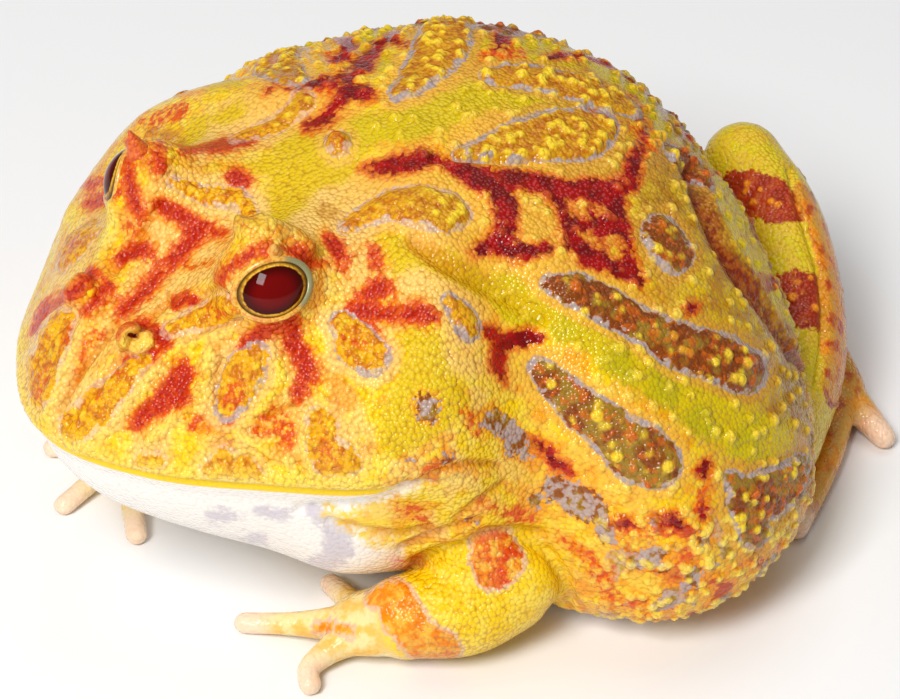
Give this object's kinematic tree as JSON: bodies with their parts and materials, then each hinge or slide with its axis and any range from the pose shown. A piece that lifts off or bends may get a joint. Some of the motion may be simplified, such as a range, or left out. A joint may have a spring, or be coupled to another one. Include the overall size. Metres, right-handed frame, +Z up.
{
  "type": "horned frog",
  "caption": "Life-size Argentine horned frog sitting on a flat floor: broad head with a wide mouth, round body, stout limbs, and low horns over the eyes.",
  "frame": {"origin": "middle of the bounding box's footprint, on the floor the frog sits on", "axes": "+X towards the snout, +Y towards the frog's left side, +Z up"},
  "size_m": [0.1238, 0.1152, 0.0583],
  "materials": {
    "back_skin": "moist warty skin, yellow with orange and crimson markings",
    "head_skin": "moist granular skin, yellow with orange and red streaks",
    "jaw_skin": "moist smooth skin, cream white with pale lilac mottling",
    "limb_skin": "moist granular skin, yellow with orange and dark red bands",
    "horn_skin": "soft pointed skin over the upper lid, orange",
    "eye_ball": "wet glossy eye, dark red pupil in a gold iris"
  },
  "bodies": {
    "root": {"torso": "back_skin", "head": "head_skin", "lower_jaw": "jaw_skin", "eye_left": "eye_ball", "eye_right": "eye_ball", "horn_left": "horn_skin", "horn_right": "horn_skin", "upper_arm_left": "limb_skin", "upper_arm_right": "limb_skin", "forearm_left": "limb_skin", "forearm_right": "limb_skin", "hand_left": "limb_skin", "hand_right": "limb_skin", "thigh_left": "limb_skin", "thigh_right": "limb_skin", "shank_left": "limb_skin", "shank_right": "limb_skin", "foot_left": "limb_skin", "foot_right": "limb_skin"}
  },
  "joints": []
}
